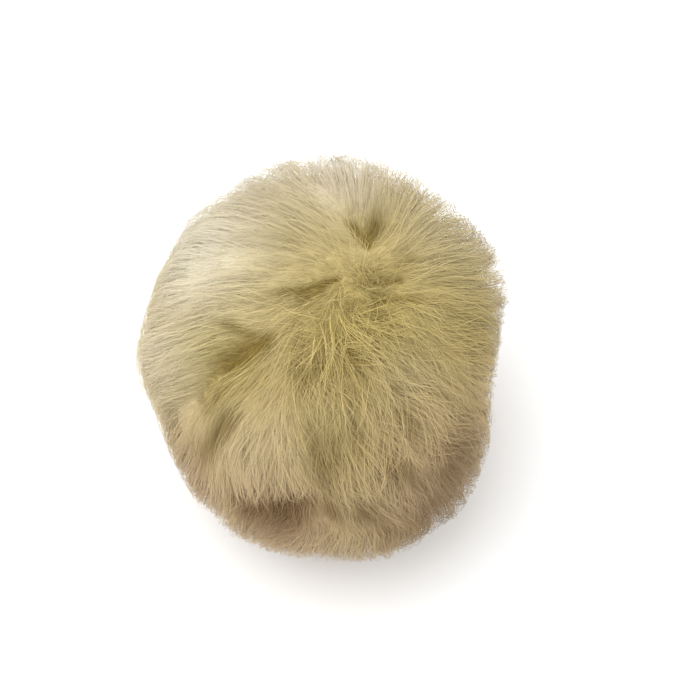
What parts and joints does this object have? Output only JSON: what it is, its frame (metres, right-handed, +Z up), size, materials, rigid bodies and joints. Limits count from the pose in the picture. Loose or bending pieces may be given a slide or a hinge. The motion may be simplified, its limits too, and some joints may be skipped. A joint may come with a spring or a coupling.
{
  "type": "fur pom pom",
  "caption": "Round fluffy fur pom pom, a trimming for a hat, bag or keyring, combed from a whorl on its crown and resting on a small flat spot.",
  "frame": {"origin": "middle of the flat spot that the ball rests on", "axes": "+Z up, out through the crown; +Y from front to back, the longest way; +X to the right seen from the front"},
  "size_m": [0.1047, 0.1151, 0.0949],
  "materials": {
    "fur": "soft pale olive fur pile, darker at the roots and paler at the tips"
  },
  "bodies": {
    "root": {"fur_ball": "fur"}
  },
  "joints": []
}
